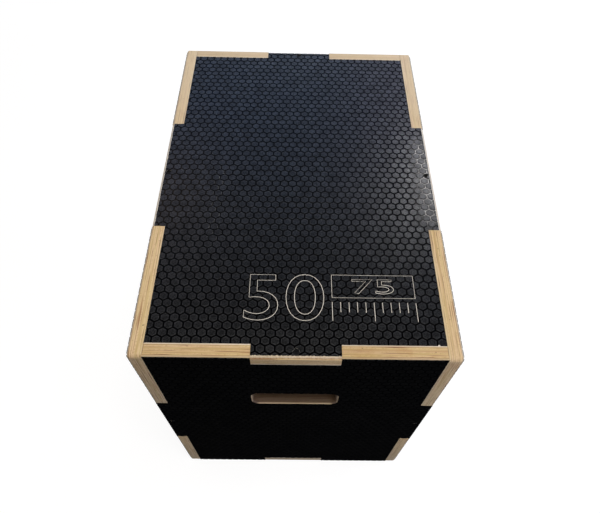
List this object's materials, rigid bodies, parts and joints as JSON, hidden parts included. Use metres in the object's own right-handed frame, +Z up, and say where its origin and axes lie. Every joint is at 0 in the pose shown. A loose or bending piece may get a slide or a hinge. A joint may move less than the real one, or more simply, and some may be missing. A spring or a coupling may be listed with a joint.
{
  "type": "plyo box",
  "caption": "Plyometric jump box of interlocking plywood panels with dark anti-slip facings, oblong hand slots and screwed tabs.",
  "frame": {"origin": "middle of the underside of the box", "axes": "+Z up, +X across the short side of the top, +Y from the front hand slot to the back one, along the long side of the top"},
  "size_m": [0.5, 0.75, 0.6],
  "materials": {
    "plywood": "bare sanded birch plywood",
    "anti_slip_film": "dark phenolic film pressed in a hexagon relief",
    "black_screw": "black phosphated steel"
  },
  "bodies": {
    "root": {"top_panel": "plywood", "bottom_panel": "plywood", "front_panel": "plywood", "back_panel": "plywood", "left_panel": "plywood", "right_panel": "plywood", "top_facing": "anti_slip_film", "bottom_facing": "anti_slip_film", "front_facing": "anti_slip_film", "back_facing": "anti_slip_film", "left_facing": "anti_slip_film", "right_facing": "anti_slip_film", "centre_brace": "plywood", "top_screws": "black_screw", "bottom_screws": "black_screw", "front_screws": "black_screw", "back_screws": "black_screw"}
  },
  "joints": []
}
